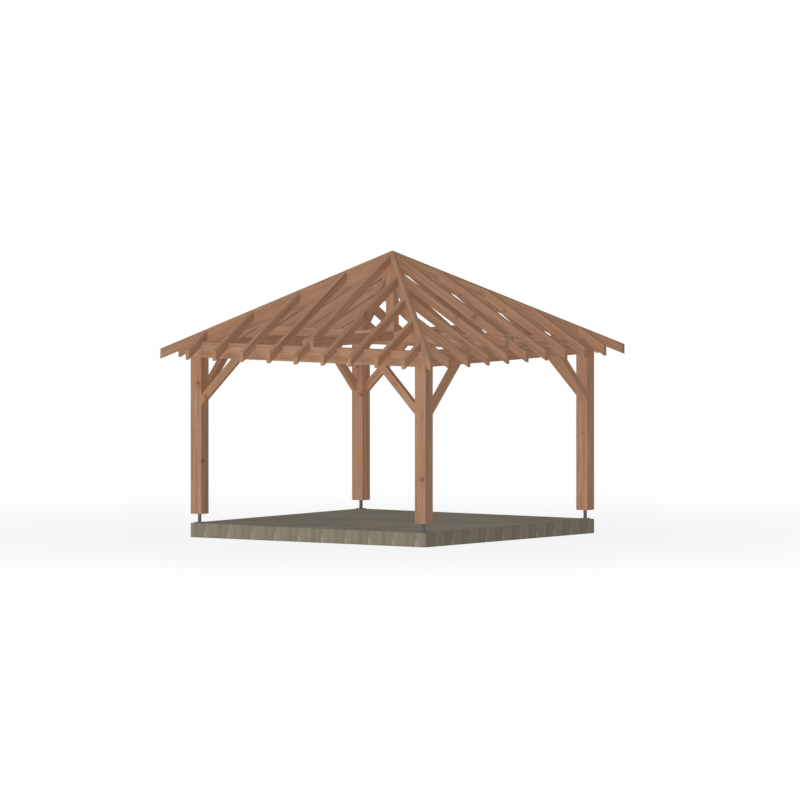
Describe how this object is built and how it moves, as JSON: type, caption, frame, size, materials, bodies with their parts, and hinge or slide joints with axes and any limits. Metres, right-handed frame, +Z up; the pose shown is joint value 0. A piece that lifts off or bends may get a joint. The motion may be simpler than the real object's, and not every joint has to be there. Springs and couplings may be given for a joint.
{
  "type": "timber garden gazebo frame",
  "caption": "Open square garden gazebo: timber posts on steel post bases over a concrete slab, braced wall plates, crossed ties, king post and a pyramid hip roof of bare rafters.",
  "frame": {"origin": "centre of the slab's underside, on the ground", "axes": "+Z up to the roof's apex, -Y towards the front side, +X towards the right side"},
  "size_m": [4.6, 4.6, 3.9447],
  "materials": {
    "timber": "planed softwood, brown stain",
    "concrete": "cast concrete, brushed top",
    "steel": "dark galvanised steel"
  },
  "bodies": {
    "root": {"brace_back_left": "timber", "brace_back_right": "timber", "brace_front_left": "timber", "brace_front_right": "timber", "brace_left_back": "timber", "brace_left_front": "timber", "brace_right_back": "timber", "brace_right_front": "timber", "common_rafter_back": "timber", "common_rafter_front": "timber", "common_rafter_left": "timber", "common_rafter_right": "timber", "hip_rafter_back_left": "timber", "hip_rafter_back_right": "timber", "hip_rafter_front_left": "timber", "hip_rafter_front_right": "timber", "jack_rafters_back_left": "timber", "jack_rafters_back_right": "timber", "jack_rafters_front_left": "timber", "jack_rafters_front_right": "timber", "jack_rafters_left_back": "timber", "jack_rafters_left_front": "timber", "jack_rafters_right_back": "timber", "jack_rafters_right_front": "timber", "king_post": "timber", "post_back_left": "timber", "post_back_right": "timber", "post_base_back_left": "steel", "post_base_back_right": "steel", "post_base_front_left": "steel", "post_base_front_right": "steel", "post_front_left": "timber", "post_front_right": "timber", "slab": "concrete", "tie_beam_front_to_back": "timber", "tie_beam_side_to_side": "timber", "wall_plate_back": "timber", "wall_plate_front": "timber", "wall_plate_left": "timber", "wall_plate_right": "timber"}
  },
  "joints": []
}
